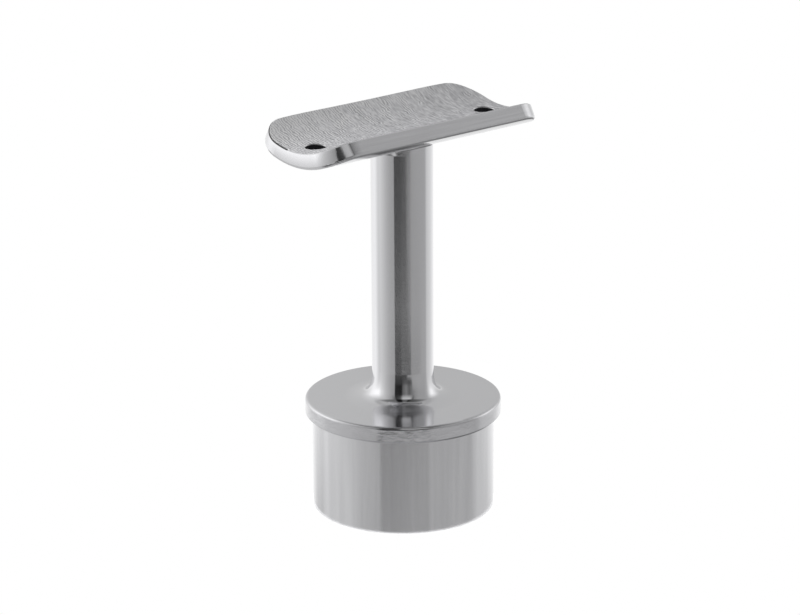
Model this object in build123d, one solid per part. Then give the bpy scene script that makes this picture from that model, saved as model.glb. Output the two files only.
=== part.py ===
from build123d import *
import os
from math import radians, sqrt, tan

# Handrail saddle: one stainless-steel casting that plugs into the top of a round
# post and carries a round handrail. From the bottom up it is a hollow plug, a
# flange that covers the end of the post, a solid round stem, and a curved plate
# that the rail lies in and is screwed to from below.
#
# Millimetres. The origin is the centre of the plug's open lower rim, +Z runs up
# the stem, and +X runs along the handrail.

# The post's tube, and the plug that slides into it.
post_diameter = 50.8
post_wall = 1.6
plug_clearance = 0.25
plug_length = 25.0
plug_wall = 3.5
plug_edge_break = 0.3

# The blind hollow in the plug, drafted so that the core pulls out downwards.
hollow_depth = 24.5
hollow_draft_angle = 1.5
hollow_corner_chamfer = 1.5

# The flange, flush with the outside of the post, with a soft rim.
flange_thickness = 4.5
flange_top_round = 0.8
flange_bottom_chamfer = 0.6

# The stem. Its foot runs out into the flange in a soft hollow curve, which starts
# foot_height up the stem, ends foot_reach out on the flange, and keeps close to
# the corner between them: the smaller foot_handle is, the closer.
stem_diameter = 16.0
foot_height = 8.0
foot_reach = 7.0
foot_handle = 1.2
stem_top_fillet = 0.6

# The handrail, and how far its seat lies above the end of the post. The seat is
# ground to a slightly larger radius than the rail, so that the rail beds on the
# middle of the seat and not on its rims.
rail_diameter = 50.8
seat_relief = 1.6
seat_height = 76.0

# The saddle plate. Its width and its corners are those of the seat in plan.
plate_length = 70.0
plate_width = 30.0
plate_thickness = 4.2
plate_corner_radius = 8.0
seat_edge_break = 0.3
plate_bottom_round = 0.8

# The two screw holes on the plate's centre line, countersunk from below.
screw_spacing = 56.0
screw_hole_diameter = 5.2
screw_head_diameter = 9.4
screw_head_angle = 90.0

# Radii and heights that follow from the sizes above.
flange_radius = post_diameter / 2
plug_radius = flange_radius - post_wall - plug_clearance
hollow_radius = plug_radius - plug_wall
flange_top = plug_length + flange_thickness
stem_radius = stem_diameter / 2
seat_radius = rail_diameter / 2 + seat_relief
seat_bottom = plug_length + seat_height
underside_radius = seat_radius + plate_thickness
underside_bottom = seat_bottom - plate_thickness


def make_turned_body():
    """The plug, the flange and the stem, revolved about Z from one half section."""
    hollow_top_radius = hollow_radius - hollow_depth * tan(radians(hollow_draft_angle))

    # The section ends inside the plate, halfway between the lowest line of the
    # seat and the point where the underside passes the side of the stem.
    underside_rise = underside_radius - sqrt(underside_radius**2 - stem_radius**2)
    stem_top = seat_bottom - (plate_thickness - underside_rise) / 2

    chamfered_corners = (
        (hollow_top_radius, hollow_depth, hollow_corner_chamfer),
        (plug_radius, 0, plug_edge_break),
        (flange_radius, plug_length, flange_bottom_chamfer),
    )

    with BuildPart() as body:
        with BuildSketch(Plane.XZ) as section:
            with BuildLine():
                Polyline(
                    (stem_radius, flange_top + foot_height),
                    (stem_radius, stem_top),
                    (0, stem_top),
                    (0, hollow_depth),
                    (hollow_top_radius, hollow_depth),
                    (hollow_radius, 0),
                    (plug_radius, 0),
                    (plug_radius, plug_length),
                    (flange_radius, plug_length),
                    (flange_radius, flange_top),
                    (stem_radius + foot_reach, flange_top),
                )
                Bezier(
                    (stem_radius + foot_reach, flange_top),
                    (stem_radius + foot_handle, flange_top),
                    (stem_radius, flange_top + foot_handle),
                    (stem_radius, flange_top + foot_height),
                )
            make_face()
            flange_rim = section.vertices().sort_by_distance((flange_radius, flange_top))[0]
            fillet(flange_rim, radius=flange_top_round)
            for radius, height, length in chamfered_corners:
                corner = section.vertices().sort_by_distance((radius, height))[0]
                chamfer(corner, length=length)
        revolve(axis=Axis.Z)
    return body.part


def make_saddle_plate():
    """The plate: its outline is drawn in plan, cut out of the seat's surface, and
    thickened outwards, so that every side stands square to the seat."""
    with BuildPart() as outline:
        with BuildSketch(Plane.XY.offset(underside_bottom)):
            RectangleRounded(plate_length, plate_width, plate_corner_radius)
        extrude(amount=seat_radius)

    # The drum is turned so that its seam lies on top, where no seat is cut.
    with BuildPart() as seat_drum:
        with Locations(Location((0, 0, seat_bottom + seat_radius), (0, -90, 0))):
            Cylinder(seat_radius, 2 * plate_length)
    seat = seat_drum.faces().filter_by(GeomType.CYLINDER)[0] & outline.part

    with BuildPart() as plate:
        thicken(seat, amount=plate_thickness)

        with Locations(Plane(origin=(0, 0, underside_bottom), z_dir=(0, 0, -1))):
            with GridLocations(screw_spacing, 0, 2, 1):
                CounterSinkHole(
                    screw_hole_diameter / 2,
                    screw_head_diameter / 2,
                    counter_sink_angle=screw_head_angle,
                )

        # The underside is the largest face, and the seat with its holes is the next.
        chamfer(plate.faces().sort_by(SortBy.AREA)[-2].edges(), length=seat_edge_break)
        underside = plate.faces().sort_by(SortBy.AREA)[-1]
        fillet(underside.outer_wire().edges(), radius=plate_bottom_round)
    return plate.part


def make_handrail_saddle():
    """The whole casting: the plate joined to the top of the stem with a small fillet."""
    with BuildPart() as saddle:
        add(make_turned_body())
        add(make_saddle_plate())
        fillet(saddle.edges(Select.NEW), radius=stem_top_fillet)
    return saddle.part


os.makedirs("parts", exist_ok=True)
export_step(make_handrail_saddle(), "parts/handrail_saddle.step")
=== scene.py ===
import bpy
from math import cos, pi, radians, sin
from mathutils import Matrix, Vector

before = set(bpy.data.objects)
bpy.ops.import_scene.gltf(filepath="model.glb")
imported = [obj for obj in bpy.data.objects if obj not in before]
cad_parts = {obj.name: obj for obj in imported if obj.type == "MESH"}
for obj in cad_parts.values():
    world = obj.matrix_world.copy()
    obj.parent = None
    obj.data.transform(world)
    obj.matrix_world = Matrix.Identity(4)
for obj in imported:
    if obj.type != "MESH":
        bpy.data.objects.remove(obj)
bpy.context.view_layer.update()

# The handrail saddle, one stainless-steel casting that plugs into a round post and
# is screwed to the rail. Its plug is turned and left satin, its flange and stem are
# polished, and its plate is brushed along the sides and ground across the seat.
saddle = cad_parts["handrail_saddle"]
steel = bpy.data.materials.new("stainless_steel")
steel.use_nodes = True
nodes, links = steel.node_tree.nodes, steel.node_tree.links
shader = nodes["Principled BSDF"]
shader.inputs["Metallic"].default_value = 1


def add_math(operation, first, second=None, third=None):
    """A math node in the current tree. Each operand is a socket or a number."""
    step = nodes.new("ShaderNodeMath")
    step.operation = operation
    for socket, operand in zip(step.inputs, (first, second, third)):
        if isinstance(operand, (int, float)):
            socket.default_value = operand
        elif operand is not None:
            links.new(operand, socket)
    return step.outputs[0]


def add_distance(first, second):
    """How far a point is from an axis, from its two offsets across that axis."""
    squares = [add_math("MULTIPLY", offset, offset) for offset in (first, second)]
    return add_math("SQRT", add_math("ADD", *squares))


def add_ramp(factor, low, high, stops):
    """Grey levels along factor from low to high. A stop is a place and its level."""
    share = nodes.new("ShaderNodeMapRange")
    share.inputs["From Min"].default_value = low
    share.inputs["From Max"].default_value = high
    links.new(factor, share.inputs["Value"])
    ramp = nodes.new("ShaderNodeValToRGB")
    links.new(share.outputs[0], ramp.inputs["Fac"])
    marks = ramp.color_ramp.elements
    marks.remove(marks[1])
    for number, (place, level) in enumerate(stops):
        position = (place - low) / (high - low)
        mark = marks.new(position) if number else marks[0]
        mark.position = position
        mark.color = (level, level, level, 1)
    return ramp.outputs["Color"]


def add_mix(factor, first, second, kind="FLOAT"):
    """A mix node in the current tree. Each value is a socket or a constant."""
    mix = nodes.new("ShaderNodeMix")
    mix.data_type = kind
    sockets = [socket for socket in mix.inputs if socket.enabled]
    for socket, value in zip(sockets, (factor, first, second)):
        if isinstance(value, bpy.types.NodeSocket):
            links.new(value, socket)
        else:
            socket.default_value = value
    return next(socket for socket in mix.outputs if socket.enabled)


texture_coordinates = nodes.new("ShaderNodeTexCoord")
place_on_saddle = texture_coordinates.outputs["Object"]
facing = texture_coordinates.outputs["Normal"]
offsets = nodes.new("ShaderNodeSeparateXYZ")
links.new(place_on_saddle, offsets.inputs[0])
x, y, height = offsets.outputs
facing_parts = nodes.new("ShaderNodeSeparateXYZ")
links.new(facing, facing_parts.inputs[0])
facing_along = add_math("ABSOLUTE", facing_parts.outputs["X"])
facing_across = add_math("ABSOLUTE", facing_parts.outputs["Y"])

# The plate lies above plate_foot. Its seat and its underside are rounded about one
# axis above it, along the rail, and its walls stand between the two.
plate_foot = 0.0957
seat_axis_height = 0.128
seat_radius = 0.027
plate_thickness = 0.0042
surface_slack = 0.00005
on_plate = add_math("GREATER_THAN", height, plate_foot)
from_seat_axis = add_distance(y, add_math("SUBTRACT", seat_axis_height, height))
within_seat = add_math("LESS_THAN", from_seat_axis, seat_radius + surface_slack)
on_seat = add_math("MULTIPLY", on_plate, within_seat)
half_plate = plate_thickness / 2
on_wall = add_math("COMPARE", from_seat_axis, seat_radius + half_plate, half_plate - surface_slack)
side_facing = 0.8
on_side = add_math("GREATER_THAN", add_math("MULTIPLY", on_wall, facing_across), side_facing)
on_end = add_ramp(facing_along, 0, 1, [(0.72, 0), (0.98, 1)])

# The two screw holes, the hollow in the plug, the plug and the flange's rim. The
# radius and the height given for the hollow lie within the metal round it.
hole_from_middle = 0.028
hole_radius = 0.0026
from_hole = add_distance(add_math("SUBTRACT", add_math("ABSOLUTE", x), hole_from_middle), y)
within_hole = add_math("LESS_THAN", from_hole, hole_radius + surface_slack)
in_hole = add_math("MULTIPLY", on_plate, within_hole)
hollow_limit_radius = 0.0215
hollow_limit_height = 0.0248
in_hollow = add_math(
    "MULTIPLY",
    add_math("LESS_THAN", add_distance(x, y), hollow_limit_radius),
    add_math("LESS_THAN", height, hollow_limit_height),
)
plug_top = 0.0249
on_plug = add_math("LESS_THAN", height, plug_top)
rim_middle = 0.0273
rim_half_height = 0.0017
on_rim = add_math("COMPARE", height, rim_middle, rim_half_height)

# How rough each finish is. Going up, the plug is satin, the flange is finer, and
# the foot of the stem is the brightest.
body_roughness = add_ramp(height, 0, 0.06, [
    (0, 0.17), (0.0249, 0.17), (0.0251, 0.13), (0.0293, 0.13), (0.02945, 0.12),
    (0.0297, 0.12), (0.031, 0.055), (0.042, 0.06), (0.055, 0.09),
])
polished_plate = 0.12
brushed_side = 0.26
ground_seat = 0.5
raw_inside = 0.5
plate_roughness = add_mix(on_wall, polished_plate, add_mix(on_side, polished_plate, brushed_side))
plate_roughness = add_mix(on_seat, plate_roughness, ground_seat)
roughness = add_mix(on_plate, body_roughness, plate_roughness)
roughness = add_mix(add_math("MAXIMUM", in_hollow, in_hole), roughness, raw_inside)
links.new(roughness, shader.inputs["Roughness"])

# The marks run round the plug, flange and stem, along the plate's walls and its
# underside, and across its seat. They draw each reflection out at right angles.
shader.inputs["Anisotropic"].default_value = 0.9
shader.inputs["Anisotropic Rotation"].default_value = 0.25
around = nodes.new("ShaderNodeTangent")
around.direction_type = "RADIAL"
around.axis = "Z"
outline = nodes.new("ShaderNodeVectorMath")
outline.operation = "CROSS_PRODUCT"
links.new(facing, outline.inputs[0])
outline.inputs[1].default_value = (0, 0, 1)
along = add_mix(on_wall, Vector((1, 0, 0)), outline.outputs[0], "VECTOR")
along = add_mix(on_seat, along, Vector((0, 1, 0)), "VECTOR")
links.new(add_mix(on_plate, around.outputs[0], along, "VECTOR"), shader.inputs["Tangent"])


def add_scratches(scale, detail=3):
    """Noise over the saddle, fine along an axis with a large scale and drawn out
    along one with a small scale."""
    stretch = nodes.new("ShaderNodeMapping")
    stretch.inputs["Scale"].default_value = scale
    links.new(place_on_saddle, stretch.inputs["Vector"])
    grain = nodes.new("ShaderNodeTexNoise")
    grain.inputs["Scale"].default_value = 1
    grain.inputs["Detail"].default_value = detail
    links.new(stretch.outputs[0], grain.inputs["Vector"])
    return grain.outputs["Fac"]


# The seat is ground in short strokes, which fade away towards one end of it.
stroke_fade_along = -4
strokes = nodes.new("ShaderNodeTexWave")
strokes.bands_direction = "X"
strokes.inputs["Scale"].default_value = 380
strokes.inputs["Distortion"].default_value = 7
strokes.inputs["Detail"].default_value = 3
strokes.inputs["Detail Scale"].default_value = 1.6
links.new(place_on_saddle, strokes.inputs["Vector"])
fading = add_math("MULTIPLY_ADD", x, stroke_fade_along, add_scratches((330, 260, 260)))
struck = add_ramp(fading, 0, 1, [(0.42, 0), (0.62, 0.6)])
grinding = add_mix(struck, add_scratches((1700, 500, 500), 5), strokes.outputs["Fac"])

# Relief in millimetres: rings from the lathe, a fine mottle, waves on the rim of
# the flange, and lines along the plate's walls. The walls at the plate's two ends
# are also a little crowned.
turned = add_math("MULTIPLY", add_scratches((60, 60, 2200)), 0.003)
mottle = add_math("MULTIPLY", add_scratches((1500, 1500, 1500)), add_mix(on_rim, 0.004, 0.02))
waves = add_math("MULTIPLY", add_scratches((260, 260, 400)), add_mix(on_rim, 0, 0.05))
brushed = add_math("MULTIPLY", add_scratches((90, 2200, 2200)), 0.012)
millimetre = 0.001
crown_radius = 0.03
crown_fall = -45000
from_crown = add_math("SUBTRACT", from_seat_axis, crown_radius)
crown = add_math("MULTIPLY", add_math("POWER", from_crown, 2), crown_fall)
walls = add_math("ADD", brushed, add_math("MULTIPLY", on_end, crown))
plate_relief = add_mix(on_seat, walls, add_math("MULTIPLY", grinding, 0.02))
body_relief = add_math("ADD", turned, add_math("ADD", mottle, waves))
bump = nodes.new("ShaderNodeBump")
bump.inputs["Strength"].default_value = 1
bump.inputs["Distance"].default_value = millimetre
links.new(add_mix(on_plate, body_relief, plate_relief), bump.inputs["Height"])
links.new(bump.outputs[0], shader.inputs["Normal"])

# The seat's grey follows the strokes and soft blotches. Painted light and shade
# make it lighter towards one end and one long side.
painted_light_along = -2.2
painted_light_across = 20
seat_grey = (0.29, 0.29, 0.305)
stroke_level = add_ramp(grinding, 0, 1, [(0.25, 0), (0.75, 0.46)])
blotches = add_math("MULTIPLY", add_scratches((200, 120, 120)), 0.2)
seat_level = add_math("ADD", stroke_level, blotches)
# Painted light and shade: the seat grows lighter towards one end and one long side.
seat_level = add_math("ADD", seat_level, add_math("MULTIPLY", x, painted_light_along))
seat_level = add_math("ADD", seat_level, add_math("MULTIPLY", y, painted_light_across))
seat_tint = nodes.new("ShaderNodeCombineColor")
for channel, base in zip(seat_tint.inputs, seat_grey):
    links.new(add_math("ADD", seat_level, base), channel)

# The rest is one steel, with faint streaks up the plug and faint lines along the
# plate's sides. Round one corner of the plate a painted shadow line runs along the
# seat's broken edge, the hollow is left raw, and the screw holes lie in shade.
darker_steel = (0.64, 0.64, 0.655, 1)
lighter_steel = (0.72, 0.72, 0.735, 1)
rim_steel = (0.57, 0.57, 0.585, 1)
shadow_line_paint = (0.12, 0.12, 0.12, 1)
raw_steel = (0.5, 0.5, 0.5, 1)
hole_shade = (0.04, 0.04, 0.045, 1)
streaks = add_mix(on_plug, 0.5, add_scratches((500, 500, 20)))
on_plate_side = add_math("MULTIPLY", on_side, on_plate)
streaks = add_mix(on_plate_side, streaks, add_scratches((60, 1500, 1500)))
lightness = add_ramp(streaks, 0, 1, [(0.25, 0), (0.75, 1)])
edge_radius = 0.0272
edge_half_width = 0.00016
shadow_line_corner_x = -0.03
shadow_line_corner_y = 0.0025
# A thin painted shadow line on the seat's broken edge, round one corner of the plate.
on_shadow_line = add_math("COMPARE", from_seat_axis, edge_radius, edge_half_width)
on_shadow_line = add_math("MULTIPLY", on_shadow_line, add_math("LESS_THAN", x, shadow_line_corner_x))
on_shadow_line = add_math("MULTIPLY", on_shadow_line, add_math("GREATER_THAN", y, shadow_line_corner_y))
on_shadow_line = add_math("MULTIPLY", on_shadow_line, on_plate)
tint = add_mix(lightness, darker_steel, lighter_steel, "RGBA")
tint = add_mix(on_rim, tint, rim_steel, "RGBA")
tint = add_mix(on_seat, tint, seat_tint.outputs[0], "RGBA")
tint = add_mix(on_shadow_line, tint, shadow_line_paint, "RGBA")
tint = add_mix(in_hollow, tint, raw_steel, "RGBA")
tint = add_mix(in_hole, tint, hole_shade, "RGBA")
links.new(tint, shader.inputs["Base Color"])

saddle.data.materials.clear()
saddle.data.materials.append(steel)

# A round white paper floor that the plug stands on, little wider than the plug,
# so that the steel mirrors the room and not the paper.
paper_radius = 0.0245
paper_glow = 0.45
bpy.ops.object.select_all(action="DESELECT")
bpy.ops.mesh.primitive_circle_add(radius=paper_radius, vertices=96, fill_type="NGON")
floor = bpy.context.object
floor.name = "floor"
paper = bpy.data.materials.new("white_paper")
paper.use_nodes = True
nodes, links = paper.node_tree.nodes, paper.node_tree.links
matt = nodes["Principled BSDF"]
matt.inputs["Base Color"].default_value = (0.9, 0.9, 0.9, 1)
matt.inputs["Roughness"].default_value = 0.9
matt.inputs["Emission Color"].default_value = (1, 1, 1, 1)

# The paper glows only to the eye and in mirror images. Seen from below it is clear,
# so that the hollow shows.
ray_kinds = nodes.new("ShaderNodeLightPath").outputs
looked_at = add_math("MAXIMUM", ray_kinds["Is Camera Ray"], ray_kinds["Is Glossy Ray"])
looked_at = add_math("MAXIMUM", looked_at, ray_kinds["Is Transmission Ray"])
links.new(add_math("MULTIPLY", looked_at, paper_glow), matt.inputs["Emission Strength"])
clear = nodes.new("ShaderNodeBsdfTransparent")
one_sided = nodes.new("ShaderNodeMixShader")
links.new(nodes.new("ShaderNodeNewGeometry").outputs["Backfacing"], one_sided.inputs[0])
links.new(matt.outputs[0], one_sided.inputs[1])
links.new(clear.outputs[0], one_sided.inputs[2])
links.new(one_sided.outputs[0], nodes["Material Output"].inputs["Surface"])
floor.data.materials.append(paper)

# Camera: a long lens, some 18 degrees above the table, looks across one corner of
# the plate, so that the rail's direction runs to the right and away.
camera_azimuth = radians(-40.32)
camera_elevation = radians(17.81)
camera_distance = 0.8509
camera_roll = radians(-0.32)
camera_focal_px = 3304.9
image_width_px = 800
aim_height = 0.05325
aim_shift = -0.00065

look_from = Vector((
    sin(camera_azimuth) * cos(camera_elevation),
    -cos(camera_azimuth) * cos(camera_elevation),
    sin(camera_elevation),
))
look_right = Vector((cos(camera_azimuth), sin(camera_azimuth), 0))
look_up = look_from.cross(look_right)
camera_axes = Matrix((look_right, look_up, look_from)).transposed().to_4x4()
camera_turn = Matrix.Rotation(camera_roll, 4, look_from) @ camera_axes
camera_place = Vector((0, 0, aim_height)) + look_right * aim_shift + look_from * camera_distance

scene = bpy.context.scene
camera_data = bpy.data.cameras.new("camera")
camera_data.sensor_width = 36
camera_data.lens = camera_focal_px / image_width_px * camera_data.sensor_width
camera = bpy.data.objects.new("camera", camera_data)
camera.matrix_world = Matrix.Translation(camera_place) @ camera_turn
scene.collection.objects.link(camera)
scene.camera = camera
scene.view_settings.view_transform = "Standard"

# The room that the steel mirrors: rings of pale and grey panels round the table,
# one above the other, with a dark gap in front where the camera stands. A bearing
# is in degrees to the right of the camera, and rise goes from -1, down, to 1, up.
room = bpy.data.worlds.new("studio")
scene.world = room
room.use_nodes = True
nodes, links = room.node_tree.nodes, room.node_tree.links
nodes.clear()
turn = nodes.new("ShaderNodeVectorRotate")
turn.rotation_type = "Z_AXIS"
turn.inputs["Angle"].default_value = -camera_azimuth
links.new(nodes.new("ShaderNodeTexCoord").outputs["Generated"], turn.inputs["Vector"])
direction = nodes.new("ShaderNodeSeparateXYZ")
links.new(turn.outputs[0], direction.inputs[0])
to_right, to_back, rise = direction.outputs
bearing = add_math("ARCTAN2", to_right, add_math("MULTIPLY", to_back, -1))


def add_ring(levels):
    """Levels round the table. Each comes with its bearing in degrees."""
    return add_ramp(bearing, -pi, pi, [(radians(angle), level) for angle, level in levels])


def add_by_rise(levels):
    """Levels by height in the room. Each comes with its rise."""
    return add_ramp(rise, -1, 1, levels)


black = (0, 0, 0, 1)
white = (1, 1, 1, 1)
grey_underfoot = (0.6, 0.6, 0.6, 1)
grey_overhead = (0.33, 0.33, 0.33, 1)

# The low ring is what the upright sides of the saddle mirror to the camera. A dip
# of shade lies in it on the right.
low = add_ring((
    (-180, 1.05), (-150, 1.12), (-121, 1.22), (-112, 1.1), (-103, 0.9), (-97, 0.83),
    (-88, 0.85), (-71, 0.7), (-58, 0.57), (-45, 0.48), (-32, 0.43), (34, 0.44),
    (58, 0.475), (71, 0.47), (85, 0.47), (94, 0.5), (101, 0.72), (121, 0.87),
    (135, 1.0), (151, 1.12), (180, 1.05),
))
dip = add_math(
    "MULTIPLY",
    add_ring(((10, 0), (25, 1), (60, 1), (80, 0))),
    add_by_rise(((-0.345, 0), (-0.333, 0.3), (-0.312, 0.22), (-0.275, 0))),
)
low = add_mix(dip, low, black, "RGBA")

# The gap in front. Its right side follows the bearings given here by rise, and low
# down its left part is darker.
gap_softness = 0.03
gap_side = add_by_rise([(side_rise, radians(angle)) for side_rise, angle in (
    (-0.33, 31), (-0.312, 31), (-0.29, 20), (-0.27, 12.5), (-0.262, 12.5), (-0.245, 33), (1, 33),
)])
left_of_side = add_math("SUBTRACT", gap_side, bearing)
in_gap = add_math(
    "MULTIPLY",
    add_ramp(left_of_side, -pi, pi, [(-gap_softness, 0), (gap_softness, 1)]),
    add_ring(((-30, 0), (-28, 1))),
)
gap = add_by_rise((
    (-0.342, 0.1), (-0.334, 0.11), (-0.327, 0.13), (-0.31, 0.12), (-0.29, 0.095), (-0.27, 0.07),
))
gap_shade = add_math(
    "MULTIPLY",
    add_ring(((-8, 0.85), (-2, 0))),
    add_by_rise(((-0.326, 1), (-0.308, 0))),
)
gap = add_mix(gap_shade, gap, black, "RGBA")
low = add_mix(in_gap, low, gap, "RGBA")

# Lower still comes the ring that the plug mirrors, with white paper in front. Below
# it the room is dim, and straight down it is an even grey.
paper_ring = add_ring((
    (-180, 1.05), (-160, 0.9), (-142, 0.4), (-127, 0.2), (-118, 0.62), (-108, 0.66),
    (-98, 0.6), (-86, 0.62), (-72, 0.73), (-64, 0.94), (-58, 1.02), (-44, 1.1),
    (-30, 1.14), (-29, 1.34), (-9, 1.34), (17, 1.34), (28, 1.26), (30, 1.1),
    (44, 1.13), (60, 1.02), (75, 0.92), (88, 0.88), (98, 0.68), (107, 0.84),
    (115, 0.84), (130, 0.64), (150, 0.75), (165, 0.95), (180, 1.05),
))
level = add_mix(add_by_rise(((-0.355, 1), (-0.348, 0))), low, paper_ring, "RGBA")
dim_ring = add_ring((
    (-180, 0.95), (-165, 0.7), (-75, 0.65), (-55, 0.15), (50, 0.15), (70, 0.22),
    (150, 0.22), (162, 0.4), (172, 0.95), (180, 0.95),
))
level = add_mix(add_by_rise(((-0.43, 1), (-0.39, 0))), level, dim_ring, "RGBA")
level = add_mix(add_by_rise(((-0.92, 1), (-0.82, 0))), level, grey_underfoot, "RGBA")

# The middle ring lies a little above the table and starts lower down in the gap.
middle = add_ring((
    (-180, 0.62), (-178, 0.67), (-165, 0.72), (-139, 1.05), (-125, 1.3), (-104, 1.45),
    (-92, 1.45), (-80, 1.05), (-66, 0.74), (-60, 0.66), (-38, 0.44), (-30, 0.4),
    (-27, 0.03), (-5, 0.02), (0, 0.16), (11, 0.26), (22, 0.14), (33, 0.25), (45, 0.36),
    (57, 0.42), (81, 0.45), (91, 0.58), (97, 0.8), (107, 1.22), (115, 1.3), (124, 1.12),
    (138, 0.8), (150, 0.65), (178, 0.6), (180, 0.62),
))
start_in_gap = add_math("MULTIPLY", in_gap, add_by_rise(((-0.265, 0), (-0.14, 1))))
to_middle = add_math("MAXIMUM", start_in_gap, add_by_rise(((-0.3, 0), (0.1, 1))))
level = add_mix(to_middle, level, middle, "RGBA")

# Two rings overhead, of which the upper one is seen in the flange's top, in the
# mirror image of the stem's foot. The very top is an even grey.
upper = add_ring((
    (-180, 0.61), (-150, 0.75), (-128, 0.77), (-98, 0.74), (-69, 0.66), (-42, 0.4),
    (-33, 0.2), (-25, 0.05), (-9, 0.12), (0, 0.65), (24, 0.68), (32, 0.4), (37, 0.12),
    (44, 0.3), (55, 0.4), (65, 0.43), (95, 0.44), (125, 0.56), (160, 0.62), (180, 0.61),
))
level = add_mix(add_by_rise(((0.3, 0), (0.68, 1))), level, upper, "RGBA")
topmost = add_ring((
    (-180, 0.5), (-115, 0.55), (-92, 0.3), (-60, 0.2), (-30, 0.16), (-25, 0.01),
    (-5, 0.01), (0, 0.15), (15, 0.15), (22, 0.03), (35, 0.09), (60, 0.14), (92, 0.25),
    (115, 0.5), (180, 0.5),
))
level = add_mix(add_by_rise(((0.7, 0), (0.78, 1))), level, topmost, "RGBA")
level = add_mix(add_by_rise(((0.92, 0), (0.99, 1))), level, grey_overhead, "RGBA")

# Only a mirrored ray sees the rings. To every other ray the room is plain white.
mirrored = nodes.new("ShaderNodeLightPath").outputs["Is Glossy Ray"]
glow = nodes.new("ShaderNodeBackground")
links.new(add_mix(mirrored, white, level, "RGBA"), glow.inputs["Color"])
output = nodes.new("ShaderNodeOutputWorld")
links.new(glow.outputs[0], output.inputs["Surface"])
